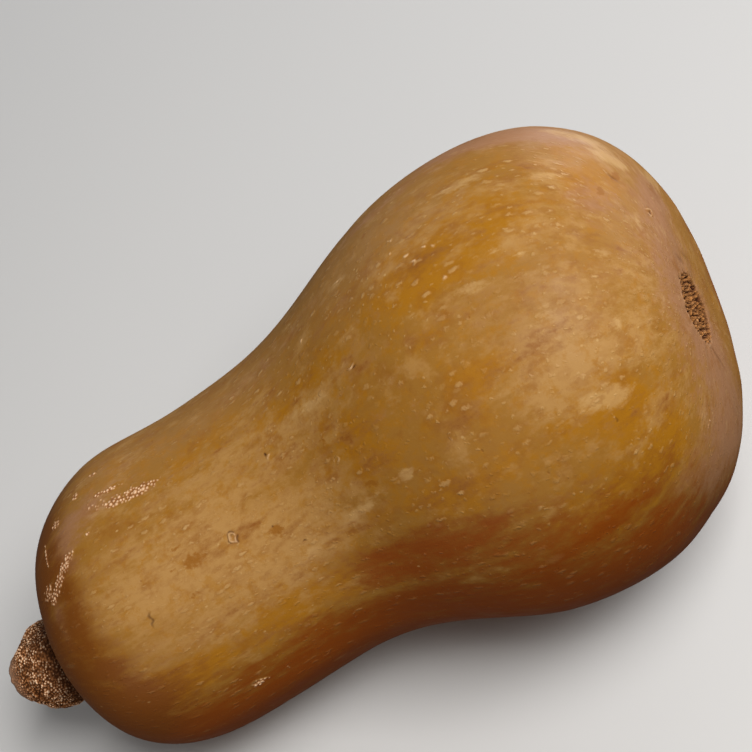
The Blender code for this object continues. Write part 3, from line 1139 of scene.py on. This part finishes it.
def colour_zones(rind, fruit, skin):
    """The skin's colours without its specks, from tan on top to a painted red-brown shade
    underneath.
    """
    tan = ((rind.attribute("tan"), 0.7), (skin.broad, 1.1), (skin.bands, 0.7), (skin.edge, 1.1))
    colour = rind.mix(rind.range(rind.total(*tan), 1.55, 2.00), fruit.ochre, fruit.tan)
    gold = ((rind.attribute("gold"), 0.7), (skin.clouds, 1.0), (skin.bands, 0.5))
    gold = rind.total(*gold, (skin.mottle, 0.9))
    colour = rind.mix(rind.range(gold, 1.28, 1.75), colour, fruit.gold)
    colour = rind.mix(rind.range(skin.mottle, 0.48, 0.64, 0.0, 0.5), colour, fruit.gold)
    colour = rind.mix(rind.range(skin.blush, 0.50, 0.68, 0.0, 0.7), colour, fruit.tan)
    rosy = rind.attribute("rosy")
    # Rosy blossom end, partly a painted sheen along the bulb's upper edges
    blossom_end = rind.total((rosy, 1.0), (skin.edge, 1.2), (skin.mottle, 1.0))
    colour = rind.mix(rind.range(blossom_end, 1.30, 2.05), colour, fruit.rosy)

    worn = rind.total((skin.edge, 1.0), (skin.bands, 0.6), (skin.clouds, 0.3))
    worn = rind.range(worn, 1.0, 1.25, 0.0, 0.30)
    # Pale streaks, with the painted glare on the bulb's upper edge
    pale = rind.total((rind.attribute("pale"), 1.0), (skin.edge, 1.3), (skin.streaks, 0.3))
    pale = rind.range(pale, 1.1, 1.5, 0.0, 0.55)
    colour = rind.mix(rind.larger(worn, pale), colour, fruit.pale)

    colour = rind.mix(rind.range(skin.shade, 0.50, 0.75, 0.0, 0.55), colour, fruit.bruise)
    # Painted shade underneath: the skin darkens towards bruise brown, then towards the deeper
    # red-brown
    under = ((rind.attribute("under"), 1.0), (skin.bands, 1.5), (skin.edge, 1.5))
    under = rind.total(*under, (rosy, -0.8))
    colour = rind.mix(rind.range(under, 1.50, 2.15, 0.0, 0.85), colour, fruit.bruise)
    colour = rind.mix(rind.range(under, 1.80, 2.50, 0.0, 0.95), colour, fruit.underside_shade)
    # Darker skin round the stem, partly painted shade
    dim = ((rind.attribute("brown"), 1.0), (skin.bands, 1.2), (skin.edge, 1.2))
    dim = rind.total(*dim, (rosy, -0.45))
    return rind.mix(rind.range(dim, 1.20, 2.20, 0.0, 0.95), colour, fruit.brown)


def colour_specks(rind, fruit, skin, grain, colour):
    """The skin with its lighter specks, the painted shade beside some of them, and darker pits,
    and how far these stand up or lie low.
    """
    strayed = rind.stray(grain, 0.0012, 0.0007)
    lit = rind.range(skin.speckled, 0.42, 0.60, 0.20, 1.0)
    # The specks are fainter where painted shade lies by the stem and underneath
    lit = rind.times(lit, rind.range(rind.attribute("brown"), 0.0, 0.7, 1.0, 0.25))
    lit = rind.times(lit, rind.range(rind.attribute("under"), 0.0, 0.8, 1.0, 0.35))
    dashes, beside = rind.specks(strayed, *DASHES)
    dots, _ = rind.specks(strayed, *SMALL_DOTS)
    flakes, _ = rind.specks(strayed, *FLAKES)
    sparks, _ = rind.specks(grain, *SPARKS)
    pits, _ = rind.specks(grain, *PITS)
    speck = rind.times(rind.larger(rind.times(dashes, 0.55), rind.times(dots, 0.4)), lit)
    speck = rind.larger(speck, rind.times(flakes, 0.18))
    speck = rind.larger(speck, rind.times(sparks, 0.6))
    # Painted shade: a darker halo beside the raised dashes
    colour = rind.mix(rind.times(beside, rind.times(lit, 0.35)), colour, fruit.bruise)
    colour = rind.mix(speck, colour, fruit.pale)
    colour = rind.mix(rind.times(pits, 0.7), colour, fruit.bruise)
    return colour, ((dots, 0.4), (dashes, 0.5), (pits, -0.6))


def make_rind_material(fruit, stem):
    rind = Finish("squash_rind")
    grain = rind.attribute("grain", "Vector")
    place = rind.place()
    skin = skin_patterns(rind, grain, place)
    colour = colour_zones(rind, fruit, skin)
    colour, raised = colour_specks(rind, fruit, skin, grain, colour)

    bruise = rind.total((rind.attribute("bruise"), 1.0), (skin.stain, 1.6))
    sunken = rind.mix(0.75, fruit.gold, fruit.bruise)
    colour = rind.mix(rind.range(bruise, 1.02, 1.50, 0.0, 0.9), colour, sunken)

    cork = rind.attribute("cork")
    scar = rind.attribute("scar")
    colour = rind.mix(rind.times(cork, 0.6), colour, stem.cork)
    colour = rind.mix(rind.times(scar, 0.85), colour, fruit.scar_cork)
    # Painted highlights on the cork's grains and the scar, and the paler rings and dots
    bright = rind.times(rind.attribute("bright"), rind.range(skin.grit, 0.3, 0.6, 0.55, 1.0))
    pale_and_highlight_colour = rind.mix(rind.range(cork, 0.0, 1.0, 0.45, 0.85), fruit.pale, stem.bead)
    colour = rind.mix(bright, colour, pale_and_highlight_colour)
    # Painted shade in the scar's fine crackle, which the bump also sinks
    crazed = rind.cell_borders(rind.stray(place, 0.0012, 0.0005), 0.00075)
    crazed = rind.times(rind.range(crazed, 0.16, 0.05), scar)
    crazed = rind.times(crazed, rind.range(skin.stain, 0.35, 0.55))
    dark = rind.larger(rind.attribute("dark"), rind.times(crazed, 0.6))
    rind.put(rind.mix(dark, colour, fruit.crack), rind.shader.inputs["Base Color"])

    rough = rind.range(skin.satin, 0.3, 0.7, 0.42, 0.54)
    rough = rind.total((rough, 1.0), (cork, 0.2), (scar, 0.5), (skin.streaks, 0.06))
    rind.put(rind.math("MINIMUM", rough, 1.0), rind.shader.inputs["Roughness"])

    relief = rind.total((skin.peel, 0.18), (skin.streaks, 0.30), *raised)
    relief = rind.total((relief, 1.0), (rind.times(skin.grit, scar), 0.8), (crazed, -1.0))
    rind.bump(relief, 0.6, 0.0003)
    rind.shader.inputs["IOR"].default_value = 1.45
    rind.shader.inputs["Specular IOR Level"].default_value = 0.22
    return rind.material


def make_stem_material(stem):
    cork = Finish("stem_cork")
    place = cork.place()
    grit = cork.noise(place, 0.0006, 3.0, 0.6)
    patches = cork.noise(place, 0.0045, 3.0, 0.6)
    colour = cork.mix(cork.range(patches, 0.35, 0.7), stem.crevice_shade, stem.cork)
    colour = cork.mix(0.75, colour, stem.cork)
    # Painted shade in the dips between the rows
    shade_between_rows = cork.range(cork.attribute("rows"), 1.0, 0.0, 0.0, 0.20)
    colour = cork.mix(shade_between_rows, colour, stem.crevice_shade)
    bead = cork.attribute("bead")
    # Painted highlight on the bead tops
    lit = cork.range(cork.math("ADD", bead, cork.times(grit, 0.4)), 0.50, 0.85)
    colour = cork.mix(lit, colour, stem.bead)
    # Painted shade in the hollows between the beads and in the fissures, less on the cut end
    hollow = cork.range(cork.math("ADD", bead, cork.times(grit, 0.25)), 0.38, 0.12)
    hollow = cork.larger(cork.times(hollow, 0.85), cork.attribute("fissure"))
    cut = cork.attribute("cut")
    hollow = cork.times(hollow, cork.range(cut, 1.0, 0.0, 0.25, 1.0))
    colour = cork.mix(hollow, colour, stem.crevice_shade)
    fibres, _ = cork.specks(place, 1.0, 0.0011, 0.4, 0.6)
    end = cork.mix(cork.times(fibres, 0.5), stem.end_light, stem.end_dark)
    colour = cork.mix(cork.times(cut, 0.8), colour, end)
    # Painted shade where the stem meets the fruit
    colour = cork.mix(cork.times(cork.attribute("base"), 0.8), colour, stem.crevice_shade)
    cork.put(colour, cork.shader.inputs["Base Color"])
    cork.put(cork.range(grit, 0.3, 0.7, 0.55, 0.75), cork.shader.inputs["Roughness"])
    cork.bump(cork.total((grit, 1.0), (bead, 0.8)), 0.7, 0.0004)
    cork.shader.inputs["Specular IOR Level"].default_value = 0.06
    return cork.material


# ---------------------------------------------------------------- operators


class SQUASH_OT_make_fruit(bpy.types.Operator):
    """Build the fruit: neck, bulb, blossom scar and the marks on its skin"""

    bl_idname = "squash.make_fruit"
    bl_label = "Make fruit"

    def execute(self, context):
        fruit = context.scene.squash_fruit
        outline = Outline(fruit)
        piece = make_box()
        for margin in REFINE_MARGINS:
            refine(piece, outline, margin)
        shape_fruit(piece, outline)
        sweep(piece)
        store_underside_shade(piece.data)
        rind = make_rind_material(fruit, context.scene.squash_stem)
        finish_piece(piece, rind, "fruit")
        return {"FINISHED"}


class SQUASH_OT_make_stem(bpy.types.Operator):
    """Build the ridged, corky stub of the stem"""

    bl_idname = "squash.make_stem"
    bl_label = "Make stem"

    def execute(self, context):
        stem = context.scene.squash_stem
        piece = make_stem_cage(stem)
        shape_stem(piece, stem)
        sweep(piece)
        finish_piece(piece, make_stem_material(stem), "stem")
        return {"FINISHED"}


def direction(turn, rise):
    """Points from the squash at a bearing and a height, both in degrees."""
    turn, rise = math.radians(turn), math.radians(rise)
    level = math.cos(rise)
    return Vector((level * math.sin(turn), -level * math.cos(turn), math.sin(rise)))


def add_light(name, turn, rise, size, power, colour):
    """A square soft light that looks at the squash's middle."""
    lamp = bpy.data.lights.new(name, "AREA")
    lamp.shape = "SQUARE"
    lamp.size = size
    lamp.energy = power
    lamp.color = colour
    light = bpy.data.objects.new(name, lamp)
    bpy.context.scene.collection.objects.link(light)
    towards = direction(turn, rise)
    light.location = Vector(LIGHT_AIM) + towards * LIGHT_DISTANCE
    light.rotation_euler = towards.to_track_quat("Z", "Y").to_euler()


def add_camera(scene):
    lens = bpy.data.cameras.new("camera")
    lens.lens = CAMERA_LENS
    lens.sensor_width = CAMERA_SENSOR
    lens.clip_start = 0.01
    camera = bpy.data.objects.new("camera", lens)
    scene.collection.objects.link(camera)
    back = direction(CAMERA_TURN, CAMERA_RISE)
    camera.location = Vector(CAMERA_AIM) + back * CAMERA_DISTANCE
    turn, rise, roll = (math.radians(angle) for angle in (CAMERA_TURN, CAMERA_RISE, CAMERA_ROLL))
    level = Euler((math.pi / 2.0 - rise, 0.0, turn), "XYZ").to_matrix()
    camera.rotation_euler = (level @ Euler((0.0, 0.0, roll), "XYZ").to_matrix()).to_euler()
    scene.camera = camera


class SQUASH_OT_make_stage(bpy.types.Operator):
    """Build the floor, the lights and the camera"""

    bl_idname = "squash.make_stage"
    bl_label = "Make stage"

    def execute(self, context):
        stage = context.scene.squash_stage
        deselect_all()
        bpy.ops.mesh.primitive_circle_add(
            vertices=FLOOR_SIDES,
            radius=stage.floor_radius,
            fill_type="NGON",
            location=(0.0, 0.0, 0.0),
        )
        floor = context.active_object
        floor.name = "floor"
        paint = Finish("floor_paint")
        cloud = paint.noise(paint.place(), FLOOR_CLOUD_SIZE, 2.0)
        light = tuple(stage.floor_colour)
        dim = tuple(FLOOR_DIMMING * channel for channel in light)
        paint.put(paint.mix(cloud, dim, light), paint.shader.inputs["Base Color"])
        paint.shader.inputs["Roughness"].default_value = 0.9
        floor.data.materials.append(paint.material)
        # Its pale bounce would grey the dark underside, so it throws no light back
        floor.visible_diffuse = False
        floor.visible_glossy = False

        world = bpy.data.worlds.new("sky")
        context.scene.world = world
        world.use_nodes = True
        sky = world.node_tree.nodes["Background"]
        sky.inputs["Color"].default_value = (1.0, 1.0, 1.0, 1.0)
        sky.inputs["Strength"].default_value = stage.sky_strength

        for name, turn, rise, size, colour in LIGHTS:
            power = getattr(stage, name + "_power")
            add_light(name + "_light", turn, rise, size, power, colour)
        add_camera(context.scene)
        context.scene.view_settings.view_transform = "Standard"
        return {"FINISHED"}


class SQUASH_PT_panel(bpy.types.Panel):
    """Sizes, colours and the steps that build the squash"""

    bl_idname = "SQUASH_PT_panel"
    bl_label = "Butternut squash"
    bl_space_type = "VIEW_3D"
    bl_region_type = "UI"
    bl_category = "Squash"

    def draw(self, context):
        scene = context.scene
        for settings, operator in (
            (scene.squash_fruit, SQUASH_OT_make_fruit),
            (scene.squash_stem, SQUASH_OT_make_stem),
            (scene.squash_stage, SQUASH_OT_make_stage),
        ):
            box = self.layout.box()
            for name in settings.__annotations__:
                box.prop(settings, name)
            box.operator(operator.bl_idname)


CLASSES = (
    SquashFruitSettings,
    SquashStemSettings,
    SquashStageSettings,
    SQUASH_OT_make_fruit,
    SQUASH_OT_make_stem,
    SQUASH_OT_make_stage,
    SQUASH_PT_panel,
)


def register():
    for made in CLASSES:
        bpy.utils.register_class(made)
    bpy.types.Scene.squash_fruit = bpy.props.PointerProperty(type=SquashFruitSettings)
    bpy.types.Scene.squash_stem = bpy.props.PointerProperty(type=SquashStemSettings)
    bpy.types.Scene.squash_stage = bpy.props.PointerProperty(type=SquashStageSettings)


def unregister():
    del bpy.types.Scene.squash_stage
    del bpy.types.Scene.squash_stem
    del bpy.types.Scene.squash_fruit
    for made in reversed(CLASSES):
        bpy.utils.unregister_class(made)


def main():
    register()
    bpy.ops.squash.make_fruit()
    bpy.ops.squash.make_stem()
    bpy.ops.squash.make_stage()


if __name__ == "__main__":
    main()
